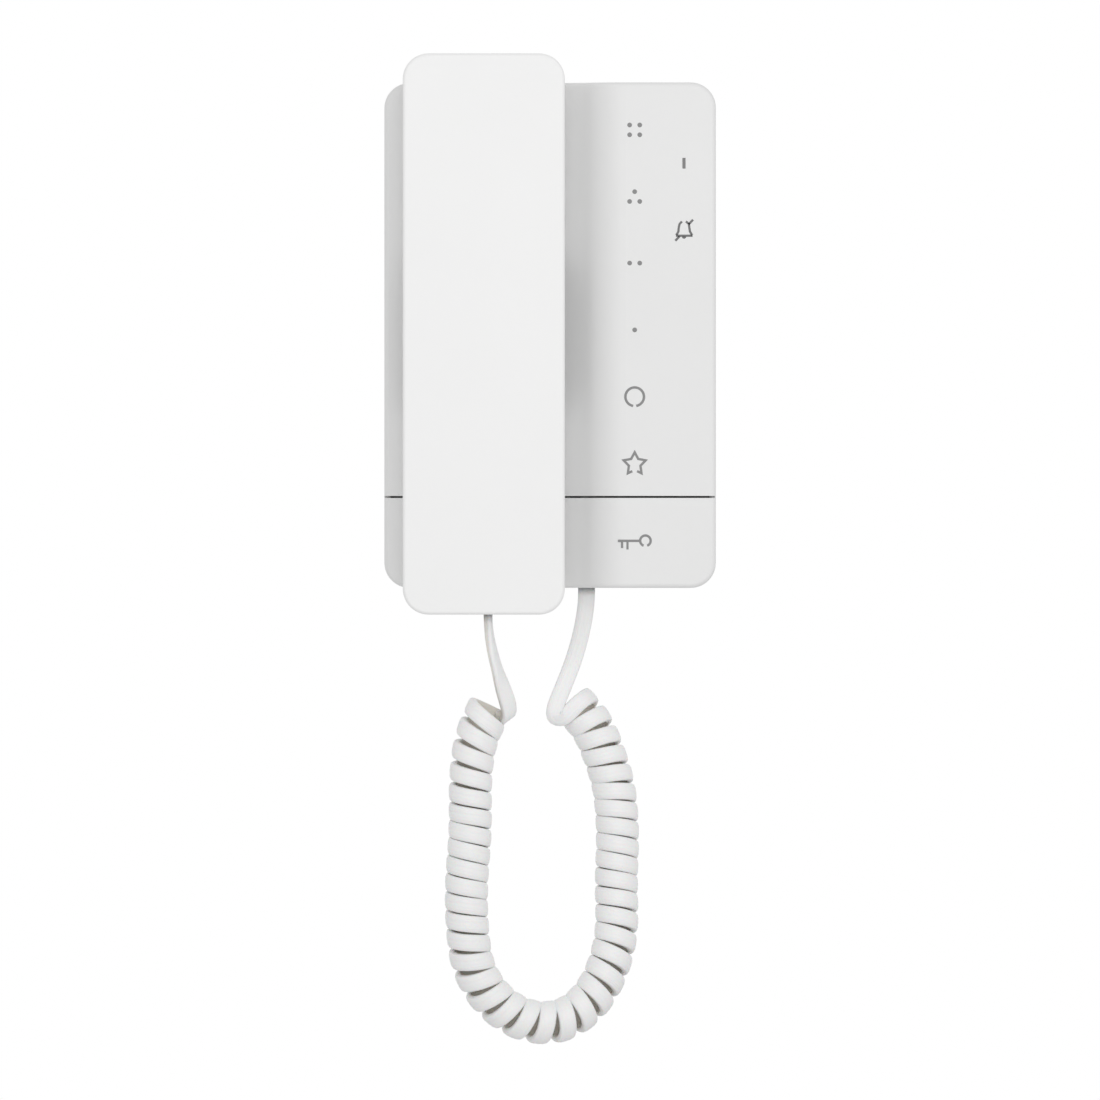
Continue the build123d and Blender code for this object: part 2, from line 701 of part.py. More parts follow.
def make_handset_front_shell():
    wall = hand_wall
    shell = block(hand_width, hand_height, hand_split_depth, hand_face_depth, hand_x, hand_z,
                  corner=hand_corner)
    shell = fillet(shell.faces().sort_by(Axis.Y)[0].edges(), hand_edge_round)
    shell -= block(hand_width - 2 * wall, hand_height - 2 * wall, hand_split_depth - overrun,
                   hand_face_depth - wall, hand_x, hand_z, corner=hand_corner - wall)
    # tongue that goes into the rear shell
    inset = hand_step + wall + slip_fit
    back = hand_split_depth - hand_lip
    lip = block(hand_width - 2 * inset, hand_height - 2 * inset, back, hand_face_depth - wall / 2,
                hand_x, hand_z, corner=hand_corner - inset)
    lip -= block(hand_width - 2 * inset - 2 * lip_wall, hand_height - 2 * inset - 2 * lip_wall,
                 back - overrun, hand_face_depth - wall, hand_x, hand_z,
                 corner=hand_corner - inset - lip_wall)
    shell += lip
    for side in (-1, 1):
        z = hand_z + side * hand_screw_z
        shell += rod(hand_boss_d, hand_boss_depth, hand_face_depth - wall / 2, hand_x, z)
        shell -= rod(hand_screw_d - 2 * slip_fit, hand_boss_depth - overrun,
                     grip_depth + hand_screw_sink + hand_screw_length + loose_fit, hand_x, z)
    return shell - hand_plug_notch()


def make_handset_screws():
    seat = grip_depth + hand_screw_sink
    return [screw(hand_screw_d - 4 * slip_fit, hand_screw_length, hand_screw_head_d, hand_screw_head_h,
                  hand_x, seat, hand_z + side * hand_screw_z, 1) for side in (-1, 1)]


def make_receiver():
    back = cradle_depth + hand_wall + gasket_thick
    body = rod(capsule_d, back, back + capsule_rise - capsule_step, hand_x, ear_z)
    return body + rod(capsule_step_d, back, back + capsule_rise, hand_x, ear_z)


def make_receiver_gasket():
    back = cradle_depth + hand_wall
    ring = rod(capsule_d, back, back + gasket_thick, hand_x, ear_z)
    return ring - rod(capsule_d - 2 * gasket_width, back - overrun, back + gasket_thick + overrun,
                      hand_x, ear_z)


def make_microphone():
    back = cradle_depth + hand_wall + boot_floor
    return rod(mic_d, back, back + mic_rise, hand_x, mouth_z)


def make_microphone_boot():
    """Rubber cup round the microphone, open to the sound slot."""
    back = cradle_depth + hand_wall
    cup = rod(mic_d + 2 * boot_wall, back, back + boot_floor + mic_rise, hand_x, mouth_z)
    cup -= rod(mic_d, back + boot_floor, back + boot_floor + mic_rise + overrun, hand_x, mouth_z)
    return cup - rod(mouth_slot_length, back - overrun, back + boot_floor + overrun, hand_x, mouth_z)


def make_jack(width, thick, x, depth, low_z, skin):
    """Socket behind a skin, with a plain mouth that the plug fills."""
    body = Pos(x, -depth, low_z + skin) * Box(
        width + jack_width - plug_width, thick + 2 * jack_wall + 2 * slip_fit, jack_length,
        align=(Align.CENTER, Align.CENTER, Align.MIN))
    mouth = Pos(x, -depth, low_z) * Box(width + 2 * slip_fit, thick + 2 * slip_fit,
                                        2 * (plug_length + slip_fit))
    return body - mouth


def make_plug(width, thick, x, depth, low_z):
    plug = Pos(x, -depth, low_z) * Box(width, thick, plug_length,
                                       align=(Align.CENTER, Align.CENTER, Align.MIN))
    return chamfer(plug.faces().sort_by(Axis.Z)[-1].edges(), plug_chamfer)


def point(x, depth, z):
    return Vector(x, -depth, z)


def on_route(points, share):
    """Point at a share, 0 to 1, of the smooth curve (a clamped quadratic B-spline) that a route draws."""
    spans = len(points) - 2
    at = min(share * spans, spans * (1 - 1e-12))
    span = int(at)
    knots = [min(max(i - 2, 0), spans) for i in range(len(points) + 3)]
    row = [points[span + i] for i in range(3)]
    for level in (1, 2):
        for i in range(2, level - 1, -1):
            low, high = knots[span + i], knots[span + i + 3 - level]
            weight = (at - low) / (high - low)
            row[i] = row[i - 1] * (1 - weight) + row[i] * weight
    return row[2]


class Coil:
    """Centre line of the curly part: a left-handed helix round a curved axis, with its own spacing."""

    steps = 3000
    heading_step = 0.00001

    def __init__(self):
        route = [point(*p) for p in coil_axis_route]
        self.axis = [on_route(route, i / self.steps) for i in range(self.steps + 1)]
        runs = [(b - a).length for a, b in zip(self.axis, self.axis[1:])]
        place, self.turned = 0.0, [0.0]
        for run in runs:
            self.turned.append(self.turned[-1] + run / self.spacing_at((place + run / 2) / sum(runs)))
            place += run
        self.turned = [turned / self.turned[-1] for turned in self.turned]

    def spacing_at(self, share):
        """Spacing of the curls at a share of the coil's length, between the two nearest named places."""
        for (low, near), (high, far) in zip(coil_spacing, coil_spacing[1:]):
            if share <= high:
                break
        return near + (far - near) * (share - low) / (high - low)

    def strand(self, share):
        """Point of the cord's centre line at a share of the coil's turns."""
        i = min(max(bisect_left(self.turned, share), 1), self.steps)
        weight = (share - self.turned[i - 1]) / (self.turned[i] - self.turned[i - 1])
        centre = self.axis[i - 1] * (1 - weight) + self.axis[i] * weight
        along = (self.axis[i] - self.axis[i - 1]).normalized()
        front = Vector(0, -1, 0)
        front = (front - along * front.dot(along)).normalized()
        side = along.cross(front)
        turned = coil_end_phase - coil_start_phase - 360 * coil_turns
        phase = radians(coil_start_phase + turned * share)
        return centre + front * (coil_r * cos(phase)) + side * (coil_r * sin(phase))

    def heading(self, share):
        low, high = max(share - self.heading_step, 0), min(share + self.heading_step, 1)
        return (self.strand(high) - self.strand(low)).normalized()


def biarc(start, start_way, end, end_way):
    """Two arcs that join two points smoothly, each leaving in a given direction."""
    across, ways = end - start, start_way + end_way
    bend = 1 - start_way.dot(end_way)
    along = across.dot(ways)
    reach = (sqrt(along ** 2 + 2 * bend * across.dot(across)) - along) / (2 * bend)
    first, last = start + start_way * reach, end - end_way * reach
    joint = (first + last) / 2
    return [Edge.make_tangent_arc(start, start_way, joint),
            Edge.make_tangent_arc(joint, (last - first).normalized(), end)]


def cord_swept(path):
    """The cord's solid along a path. The section has flat sides."""
    section = Plane(origin=path @ 0, z_dir=path % 0) * RegularPolygon(cord_d / 2, cord_sides)
    return sweep(section, path=path, clean=False)


def make_curly_cord(coil):
    """All the curls as one unbroken length: two arcs for each half turn, and a straight run at both ends."""
    halves = 2 * coil_turns
    start, start_way = coil.strand(0), coil.heading(0)
    end, end_way = coil.strand(1), coil.heading(1)
    edges = [Edge.make_line(start - start_way * cord_d, start)]
    for i in range(halves):
        a, b = i / halves, (i + 1) / halves
        edges += biarc(coil.strand(a), coil.heading(a), coil.strand(b), coil.heading(b))
    edges.append(Edge.make_line(end, end + end_way * cord_d))
    path = Wire(edges)
    solid = cord_swept(path)
    report_volume("curly_cord", solid, path)
    per_turn = 24
    trail = [coil.strand(i / (coil_turns * per_turn)) for i in range(coil_turns * per_turn + 1)]
    least = min((trail[i] - trail[j]).length for i in range(len(trail))
                for j in range(i + per_turn // 2, min(i + 2 * per_turn, len(trail))))
    print(f"curly cord: length {path.length:.1f}, least gap to itself {least - cord_d:.2f}")
    return solid


def lead_path(name, points):
    """Straight runs joined by arcs as large as the runs allow, with the radii printed."""
    runs = [(b - a).length for a, b in zip(points, points[1:])]
    radii = []
    for i in range(1, len(points) - 1):
        turn = (points[i] - points[i - 1]).get_angle(points[i + 1] - points[i])
        radii.append(bend_share * min(runs[i - 1], runs[i]) / tan(radians(turn / 2)))
    print(f"{name}: runs {[round(r, 1) for r in runs]}, radii {[round(r, 1) for r in radii]}")
    return FilletPolyline(*points, radius=radii)


def report_volume(name, solid, path):
    section = RegularPolygon(cord_d / 2, cord_sides).area
    print(f"{name}: volume {solid.volume:.1f}, section times length {section * path.length:.1f}")


def make_lead(name, points):
    path = Wire(lead_path(name, points).edges())
    solid = cord_swept(path)
    report_volume(name, solid, path)
    return solid


def build():
    coil = Coil()
    hand_end = coil.strand(0) - coil.heading(0) * cord_d
    base_end = coil.strand(1) + coil.heading(1) * cord_d
    hand_points = [point(hand_cord_x, hand_cord_depth, z) for z in (hand_low_z, hand_low_z - cord_exit_run)]
    hand_points += [point(*p) for p in hand_lead_route]
    hand_points += [hand_end - coil.heading(0) * coil_exit_run, hand_end]
    base_points = [base_end, base_end + coil.heading(1) * coil_exit_run]
    base_points += [point(*p) for p in base_lead_route]
    base_points += [point(cord_x, cord_depth, z) for z in (base_low_z - cord_exit_run, base_low_z)]
    return {
        "wall_bracket": make_wall_bracket(),
        "rear_housing": make_rear_housing(),
        "front_cover": make_front_cover(),
        "door_key": make_door_key(),
        "key_spring": make_key_spring(),
        "main_board": make_main_board(),
        "board_parts": make_board_parts(),
        "terminal_block": make_terminal_block(),
        "touch_board": make_touch_board(),
        "board_link": make_board_link(),
        "status_lens": make_status_lens(),
        "status_led": make_status_led(),
        "key_switch": make_key_switch(),
        "ringer": make_ringer(),
        "hook_plunger": make_hook_plunger(),
        "plunger_spring": make_plunger_spring(),
        "hook_switch": make_hook_switch(),
        "cover_screws": make_cover_screws(),
        "board_screws": make_board_screws(),
        "base_jack": make_jack(plug_width, plug_thick, cord_x, cord_depth, base_low_z,
                               shell_wall + 2 * loose_fit),
        "base_plug": make_plug(plug_width, plug_thick, cord_x, cord_depth, base_low_z),
        "handset_front_shell": make_handset_front_shell(),
        "handset_rear_shell": make_handset_rear_shell(),
        "handset_screws": make_handset_screws(),
        "receiver_capsule": make_receiver(),
        "receiver_gasket": make_receiver_gasket(),
        "microphone_capsule": make_microphone(),
        "microphone_boot": make_microphone_boot(),
        "handset_jack": make_jack(plug_thick, plug_width, hand_cord_x, hand_cord_depth, hand_low_z,
                                  hand_skin),
        "handset_plug": make_plug(plug_thick, plug_width, hand_cord_x, hand_cord_depth, hand_low_z),
        "curly_cord": make_curly_cord(coil),
        "cord_lead_handset": make_lead("cord_lead_handset", hand_points),
        "cord_lead_base": make_lead("cord_lead_base", base_points),
    }


def main():
    os.makedirs("parts", exist_ok=True)
    for name, shape in build().items():
        whole = Compound(shape) if isinstance(shape, list) else shape
        export_step(whole, f"parts/{name}.step")


main()
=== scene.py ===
import math
import bmesh
import bpy
import numpy as np
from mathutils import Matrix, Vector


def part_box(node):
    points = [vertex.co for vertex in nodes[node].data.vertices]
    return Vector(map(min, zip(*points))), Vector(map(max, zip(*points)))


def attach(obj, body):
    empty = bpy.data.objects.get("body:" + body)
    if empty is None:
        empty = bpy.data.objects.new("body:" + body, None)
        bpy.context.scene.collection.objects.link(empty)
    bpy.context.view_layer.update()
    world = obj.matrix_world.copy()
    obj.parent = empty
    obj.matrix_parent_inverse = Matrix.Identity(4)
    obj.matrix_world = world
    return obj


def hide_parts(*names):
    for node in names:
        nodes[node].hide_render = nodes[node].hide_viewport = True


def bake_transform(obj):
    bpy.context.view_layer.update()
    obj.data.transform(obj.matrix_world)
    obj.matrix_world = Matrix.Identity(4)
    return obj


# Door intercom on the wall: a white wall unit, its handset and a curly cord.
# Metres, the wall is y = 0, the front looks towards -Y and +Z is up.
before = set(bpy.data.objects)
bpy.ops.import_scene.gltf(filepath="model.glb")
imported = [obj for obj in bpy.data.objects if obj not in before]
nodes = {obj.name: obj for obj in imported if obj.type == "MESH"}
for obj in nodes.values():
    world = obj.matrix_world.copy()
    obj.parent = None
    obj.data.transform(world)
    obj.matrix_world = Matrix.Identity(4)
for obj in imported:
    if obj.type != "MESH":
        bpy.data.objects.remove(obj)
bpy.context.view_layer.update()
mm = 0.001


# a point in metres from millimetres: across, in front of the wall, up
def place(x, depth, z):
    return np.array([x, -depth, z], float) * mm


# vectors made one long
def unit(v):
    return v / np.maximum(np.linalg.norm(v, axis=-1, keepdims=True), 1e-12)


# a mesh from whole arrays, with its place in its vertices
def addPiece(name, points, faces, material, body, smooth=True):
    mesh = bpy.data.meshes.new(name)
    mesh.from_pydata(np.asarray(points, float).reshape(-1, 3).tolist(), [], [list(f) for f in faces])
    mesh.polygons.foreach_set("use_smooth", [smooth] * len(mesh.polygons))
    mesh.update()
    piece = bpy.data.objects.new(name, mesh)
    bpy.context.scene.collection.objects.link(piece)
    piece.data.materials.append(material)
    if body:
        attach(piece, body)
    return piece


# four-sided faces between rings of points that are stored one after the other
def ringFaces(rings, around):
    a, b = np.meshgrid(np.arange(rings - 1), np.arange(around), indexing="ij")
    up, right = a + 1, (b + 1) % around
    faces = np.stack([a * around + b, a * around + right, up * around + right, up * around + b], -1)
    return faces.reshape(-1, 4).tolist()


# one piece from several closed shapes, its faces turned outwards
def joinShapes(name, shapes, material, body, smooth=False):
    points, faces, first = [], [], 0
    for shapePoints, shapeFaces in shapes:
        points.append(shapePoints)
        faces += [[i + first for i in f] for f in shapeFaces]
        first += len(shapePoints)
    piece = addPiece(name, np.concatenate(points), faces, material, body, smooth)
    work = bmesh.new()
    work.from_mesh(piece.data)
    bmesh.ops.recalc_face_normals(work, faces=work.faces)
    work.to_mesh(piece.data)
    work.free()
    return piece


print("tools ready")


# an empty node group with named sockets: (name, kind, value) each
def newGroup(name, inputs, outputs):
    group = bpy.data.node_groups.new(name, "ShaderNodeTree")
    for label, kind, value in inputs:
        socket = group.interface.new_socket(label, in_out="INPUT", socket_type=kind)
        socket.default_value = value
    for label, kind in outputs:
        group.interface.new_socket(label, in_out="OUTPUT", socket_type=kind)
    return group, group.nodes.new("NodeGroupInput"), group.nodes.new("NodeGroupOutput")


# a socket is linked and a value is set
def feed(tree, value, socket):
    if isinstance(value, bpy.types.NodeSocket):
        tree.links.new(value, socket)
    else:
        socket.default_value = value


# from a to b by the factor, for colours ("RGBA") or numbers ("FLOAT")
def mixed(tree, kind, a, b, factor):
    node = tree.nodes.new("ShaderNodeMix")
    node.data_type = kind
    low, high, result = {"RGBA": (6, 7, 2), "FLOAT": (2, 3, 0)}[kind]  # the mix node's places for that kind
    for slot, value in ((low, a), (high, b), (0, factor)):
        feed(tree, value, node.inputs[slot])
    return node.outputs[result]


def maths(tree, operation, a, b=0.0):
    node = tree.nodes.new("ShaderNodeMath")
    node.operation = operation
    feed(tree, a, node.inputs[0])
    feed(tree, b, node.inputs[1])
    return node.outputs[0]


# soft random cells, as many to the metre as the scale says
def noise(tree, vector, scale, detail=2.0, rough=0.5):
    node = tree.nodes.new("ShaderNodeTexNoise")
    node.inputs["Scale"].default_value = scale
    node.inputs["Detail"].default_value = detail
    node.inputs["Roughness"].default_value = rough
    tree.links.new(vector, node.inputs["Vector"])
    return node.outputs["Fac"]


# sockets that every finish group takes and gives
finishInputs = [
    ("Tone", "NodeSocketColor", (0.8, 0.8, 0.8, 1)), ("Shade", "NodeSocketColor", (0.75, 0.75, 0.75, 1)),
    ("Gloss Low", "NodeSocketFloat", 0.36), ("Gloss High", "NodeSocketFloat", 0.46),
]
finishOutputs = [
    ("Color", "NodeSocketColor"), ("Roughness", "NodeSocketFloat"), ("Height", "NodeSocketFloat"),
]
finishScales = {  # cells to the metre
    "skinGrain": 2600, "skinPores": 900, "skinClouds": 26, "metalLines": 60, "metalClouds": 90,
    "inkGrain": 5200, "boardGloss": 200, "plugTone": 300, "plugGloss": 500, "barTone": 700, "barGloss": 400,
    "jacketClouds": 120,
}


# where a texture lies: on the object
def objectPlace(tree):
    return tree.nodes.new("ShaderNodeTexCoord").outputs["Object"]


# what a group gives: its colour runs from tone to shade, its roughness over the range of gloss
def giveFinish(group, entry, leave, toneFactor, glossFactor, height):
    tone, shade, low, high = (entry.outputs[label] for label in ("Tone", "Shade", "Gloss Low", "Gloss High"))
    group.links.new(mixed(group, "RGBA", tone, shade, toneFactor), leave.inputs["Color"])
    group.links.new(mixed(group, "FLOAT", low, high, glossFactor), leave.inputs["Roughness"])
    group.links.new(height, leave.inputs["Height"])
    return group


# spark-eroded skin of moulded plastic: fine grain and pores, faint flow clouds, uneven gloss
def makeMouldedSkin():
    group, entry, leave = newGroup("mouldedSkin", finishInputs, finishOutputs)
    where = objectPlace(group)
    grain = noise(group, where, finishScales["skinGrain"], 3, 0.6)
    pores = noise(group, where, finishScales["skinPores"], 2, 0.5)
    clouds = noise(group, where, finishScales["skinClouds"], 4, 0.55)
    height = maths(group, "ADD", maths(group, "MULTIPLY", grain, 0.6), maths(group, "MULTIPLY", pores, 0.4))
    return giveFinish(group, entry, leave, maths(group, "MULTIPLY", clouds, 0.5), clouds, height)


# metal with fine lines along one direction, and cloudy zinc or oxide over them
def makeBrushedMetal():
    inputs = finishInputs + [("Stretch", "NodeSocketVector", (1, 1, 10))]
    group, entry, leave = newGroup("brushedMetal", inputs, finishOutputs)
    where = objectPlace(group)
    stretch = group.nodes.new("ShaderNodeMapping")
    group.links.new(entry.outputs["Stretch"], stretch.inputs["Scale"])
    group.links.new(where, stretch.inputs["Vector"])
    lines = noise(group, stretch.outputs["Vector"], finishScales["metalLines"], 4, 0.7)
    clouds = noise(group, where, finishScales["metalClouds"], 4, 0.6)
    return giveFinish(group, entry, leave, clouds, lines, lines)


# pad-printed ink: matte, with the faint mesh of the print
def makePrintedInk():
    group, entry, leave = newGroup("printedInk", finishInputs, finishOutputs)
    grain = noise(group, objectPlace(group), finishScales["inkGrain"], 2)
    return giveFinish(group, entry, leave, grain, grain, grain)


mouldedSkin, brushedMetal, printedInk = makeMouldedSkin(), makeBrushedMetal(), makePrintedInk()


def startMaterial(name):
    material = bpy.data.materials.new(name)
    material.use_nodes = True
    tree = material.node_tree
    return material, tree, tree.nodes["Principled BSDF"]


# relief as deep in metres as the distance says
def addBump(tree, shader, height, distance):
    bump = tree.nodes.new("ShaderNodeBump")
    bump.inputs["Distance"].default_value = distance
    bump.inputs["Strength"].default_value = 1.0
    tree.links.new(height, bump.inputs["Height"])
    tree.links.new(bump.outputs["Normal"], shader.inputs["Normal"])


# a material from one of the groups: its own two tones, range of gloss and depth of relief in metres
def finishMaterial(name, group, tone, shade, gloss, relief, metallic=0.0, stretch=None):
    material, tree, shader = startMaterial(name)
    skin = tree.nodes.new("ShaderNodeGroup")
    skin.node_tree = group
    skin.inputs["Tone"].default_value = (*tone, 1)
    skin.inputs["Shade"].default_value = (*shade, 1)
    skin.inputs["Gloss Low"].default_value, skin.inputs["Gloss High"].default_value = gloss
    if stretch:
        skin.inputs["Stretch"].default_value = stretch
    tree.links.new(skin.outputs["Color"], shader.inputs["Base Color"])
    tree.links.new(skin.outputs["Roughness"], shader.inputs["Roughness"])
    shader.inputs["Metallic"].default_value = metallic
    shader.inputs["IOR"].default_value = plasticIndex
    addBump(tree, shader, skin.outputs["Height"], relief)
    return material


plasticIndex = 1.49  # how strongly light bends in the white plastic
plastics = {  # tone, shade, gloss low and high, relief
    "handsetWhite": ((0.89, 0.89, 0.888), (0.87, 0.87, 0.867), (0.34, 0.44), 0.000010),
    "coverWhite": ((0.81, 0.81, 0.808), (0.79, 0.79, 0.787), (0.36, 0.46), 0.000010),
    "housingWhite": ((0.80, 0.80, 0.79), (0.76, 0.76, 0.75), (0.42, 0.54), 0.000020),
    "blackPlastic": ((0.030, 0.030, 0.032), (0.042, 0.042, 0.044), (0.38, 0.50), 0.000012),
    "greenPlastic": ((0.06, 0.33, 0.12), (0.05, 0.28, 0.10), (0.34, 0.44), 0.000012),
    "softRubber": ((0.035, 0.035, 0.035), (0.05, 0.05, 0.05), (0.62, 0.78), 0.000030),
}
metals = {  # tone, shade, gloss low and high, stretch of the brushing
    "zincSteel": ((0.62, 0.63, 0.64), (0.52, 0.53, 0.55), (0.28, 0.46), (1, 1, 14)),
    "screwSteel": ((0.66, 0.66, 0.65), (0.55, 0.55, 0.54), (0.22, 0.36), (6, 1, 6)),
    "springSteel": ((0.50, 0.50, 0.52), (0.40, 0.40, 0.42), (0.24, 0.34), (1, 1, 10)),
    "blackSteel": ((0.10, 0.10, 0.10), (0.07, 0.07, 0.07), (0.40, 0.55), (6, 1, 6)),
    "canAluminium": ((0.74, 0.75, 0.77), (0.66, 0.67, 0.69), (0.26, 0.38), (1, 12, 1)),
}
metalRelief = 0.00001
inks = {  # tone, shade
    "greyInk": ((0.235, 0.235, 0.235), (0.265, 0.265, 0.265)),
    "darkInk": ((0.15, 0.15, 0.15), (0.18, 0.18, 0.18)),
}
inkGloss, inkRelief = (0.5, 0.65), 0.000006
finishes = {}
for name, (tone, shade, gloss, relief) in plastics.items():
    finishes[name] = finishMaterial(name, mouldedSkin, tone, shade, gloss, relief)
for name, (tone, shade, gloss, stretch) in metals.items():
    finishes[name] = finishMaterial(name, brushedMetal, tone, shade, gloss, metalRelief, 1.0, stretch)
for name, (tone, shade) in inks.items():
    finishes[name] = finishMaterial(name, printedInk, tone, shade, inkGloss, inkRelief)


# circuit board: pale solder mask over copper lines, which show as faint lighter strips
def makeCircuitBoard():
    material, tree, shader = startMaterial("circuitBoard")
    where = objectPlace(tree)
    lines = tree.nodes.new("ShaderNodeTexBrick")
    settings = {"Scale": 160, "Mortar Size": 0.06, "Color1": (0.42, 0.46, 0.42, 1),
                "Color2": (0.46, 0.50, 0.46, 1), "Mortar": (0.54, 0.58, 0.54, 1)}
    for label, value in settings.items():
        lines.inputs[label].default_value = value
    turn = tree.nodes.new("ShaderNodeMapping")
    turn.inputs["Rotation"].default_value = (math.pi / 2, 0, 0)
    tree.links.new(where, turn.inputs["Vector"])
    tree.links.new(turn.outputs["Vector"], lines.inputs["Vector"])
    tree.links.new(lines.outputs["Color"], shader.inputs["Base Color"])
    gloss = mixed(tree, "FLOAT", 0.25, 0.40, noise(tree, where, finishScales["boardGloss"]))
    tree.links.new(gloss, shader.inputs["Roughness"])
    addBump(tree, shader, lines.outputs["Fac"], 0.00003)
    return material


# clear polycarbonate of the small plugs, slightly smoky
def makeClearPlug():
    material, tree, shader = startMaterial("clearPlug")
    where = objectPlace(tree)
    shader.inputs["Transmission Weight"].default_value = 0.85
    shader.inputs["IOR"].default_value = 1.58
    patches = noise(tree, where, finishScales["plugTone"])
    tone = mixed(tree, "RGBA", (0.86, 0.87, 0.87, 1), (0.78, 0.79, 0.80, 1), patches)
    gloss = mixed(tree, "FLOAT", 0.05, 0.16, noise(tree, where, finishScales["plugGloss"]))
    tree.links.new(tone, shader.inputs["Base Color"])
    tree.links.new(gloss, shader.inputs["Roughness"])
    return material


# smoked light guide: dark while the light is off
def makeLightBar():
    material, tree, shader = startMaterial("lightBar")
    where = objectPlace(tree)
    patches = noise(tree, where, finishScales["barTone"])
    tone = mixed(tree, "RGBA", (0.14, 0.14, 0.14, 1), (0.18, 0.18, 0.18, 1), patches)
    gloss = mixed(tree, "FLOAT", 0.18, 0.30, noise(tree, where, finishScales["barGloss"]))
    tree.links.new(tone, shader.inputs["Base Color"])
    tree.links.new(gloss, shader.inputs["Roughness"])
    return material


jacketLines = 22  # fine lines round the section


# Satin vinyl jacket of the cord: fine lines along it, faint clouds, and painted shade on its inner side, a
# darker, warmer tone where the flat faces the hollow of the coil. The section starts at its side, so its
# place round is 0.25 on the outer flat and 0.75 on the inner one, and the share of the painted shade is -2.5
# * sin(2 pi * place round), held between 0 and 1.
def makeCordJacket():
    material, tree, shader = startMaterial("cordJacket")
    where = tree.nodes.new("ShaderNodeTexCoord")
    apart = tree.nodes.new("ShaderNodeSeparateXYZ")
    tree.links.new(where.outputs["UV"], apart.inputs["Vector"])
    lines = maths(tree, "SINE", maths(tree, "MULTIPLY", apart.outputs["Y"], 2 * math.pi * jacketLines))
    clouds = noise(tree, where.outputs["Object"], finishScales["jacketClouds"], 3)
    turn = maths(tree, "MULTIPLY", apart.outputs["Y"], 2 * math.pi)
    innerShade = maths(tree, "MULTIPLY", maths(tree, "MULTIPLY", maths(tree, "SINE", turn), -1), 2.5)
    innerShade = maths(tree, "MAXIMUM", maths(tree, "MINIMUM", innerShade, 1), 0)
    outerTone = mixed(tree, "RGBA", (0.92, 0.92, 0.92, 1), (0.89, 0.89, 0.888, 1), clouds)
    # the inner flat takes a darker, warmer tone: painted shade of the coil's hollow, not a colour of the
    # jacket
    tree.links.new(mixed(tree, "RGBA", outerTone, (0.80, 0.775, 0.72, 1), innerShade), shader.inputs["Base Color"])
    tree.links.new(mixed(tree, "FLOAT", 0.36, 0.48, clouds), shader.inputs["Roughness"])
    shader.inputs["Subsurface Weight"].default_value = 0.10
    shader.inputs["Subsurface Scale"].default_value = 0.001
    addBump(tree, shader, lines, 0.00002)
    return material


circuitBoard, clearPlug = makeCircuitBoard(), makeClearPlug()
lightBar, cordJacket = makeLightBar(), makeCordJacket()

finishOfNode = {
    "handsetWhite": ["handset_front_shell", "handset_rear_shell"],
    "coverWhite": ["front_cover", "door_key"],
    "housingWhite": ["rear_housing", "hook_plunger"],
    "zincSteel": ["wall_bracket"],
    "blackSteel": ["board_screws"],
    "springSteel": ["key_spring", "plunger_spring"],
    "canAluminium": ["receiver_capsule", "microphone_capsule"],
    "blackPlastic": ["board_parts", "board_link", "key_switch", "hook_switch", "ringer", "base_jack",
                     "handset_jack"],
    "greenPlastic": ["terminal_block"],
    "softRubber": ["receiver_gasket", "microphone_boot"],
}
nodeFinish = {node: finishes[finish] for finish, group in finishOfNode.items() for node in group}
nodeFinish.update({"main_board": circuitBoard, "touch_board": circuitBoard, "status_lens": lightBar,
                   "status_led": clearPlug, "base_plug": clearPlug, "handset_plug": clearPlug})
for nodeName, finish in nodeFinish.items():
    nodes[nodeName].data.materials.clear()
    nodes[nodeName].data.materials.append(finish)
print("materials on", len(nodeFinish), "nodes")


# straight in front: the distance in metres from the depth that it aims at, the rest in millimetres
camera = {"distance": 8.0, "aimDepth": 15.0, "aimZ": -68.0, "frameHeight": 348.5, "sensor": 36.0}
lens = bpy.data.cameras.new("camera")
lens.type = "PERSP"
lens.sensor_width = camera["sensor"]
lens.lens = camera["sensor"] * camera["distance"] / (camera["frameHeight"] * mm)
lens.clip_start, lens.clip_end = 0.1, 50
viewer = bpy.data.objects.new("camera", lens)
bpy.context.scene.collection.objects.link(viewer)
viewer.location = (0, -camera["distance"] - camera["aimDepth"] * mm, camera["aimZ"] * mm)
viewer.rotation_euler = (math.pi / 2, 0, 0)
bpy.context.scene.camera = viewer

# soft square lamps that look at the middle of the object: where each stands, its size and its watts
lamps = {
    "frontLamp": ((0.0, -2.2, -0.07), 1.2, 7.5),
    "rightLamp": ((0.84, -1.81, 0.86), 1.2, 6.5),
    "leftLamp": ((-0.84, -1.81, 0.86), 1.2, 2.5),
}
worldLight = 0.63  # strength of the white sky as a light; the camera, mirrors and clear parts see it at 1
world = bpy.data.worlds.new("world")
bpy.context.scene.world = world
world.use_nodes = True
sky = world.node_tree
background = sky.nodes["Background"]
background.inputs["Color"].default_value = (1, 1, 1, 1)
path = sky.nodes.new("ShaderNodeLightPath")
seen = maths(sky, "MAXIMUM", path.outputs["Is Camera Ray"], path.outputs["Is Transmission Ray"])
seen = maths(sky, "MAXIMUM", seen, path.outputs["Is Glossy Ray"])
sky.links.new(mixed(sky, "FLOAT", worldLight, 1.0, seen), background.inputs["Strength"])

for lampName, (at, size, watts) in lamps.items():
    lamp = bpy.data.lights.new(lampName, "AREA")
    lamp.shape, lamp.size, lamp.energy = "SQUARE", size, watts
    holder = bpy.data.objects.new(lampName, lamp)
    bpy.context.scene.collection.objects.link(holder)
    holder.location = at
    aim = place(0, 0, camera["aimZ"]) - np.array(at)
    holder.rotation_euler = (math.atan2(math.hypot(aim[0], aim[1]), -aim[2]), 0, math.atan2(-aim[0], aim[1]))

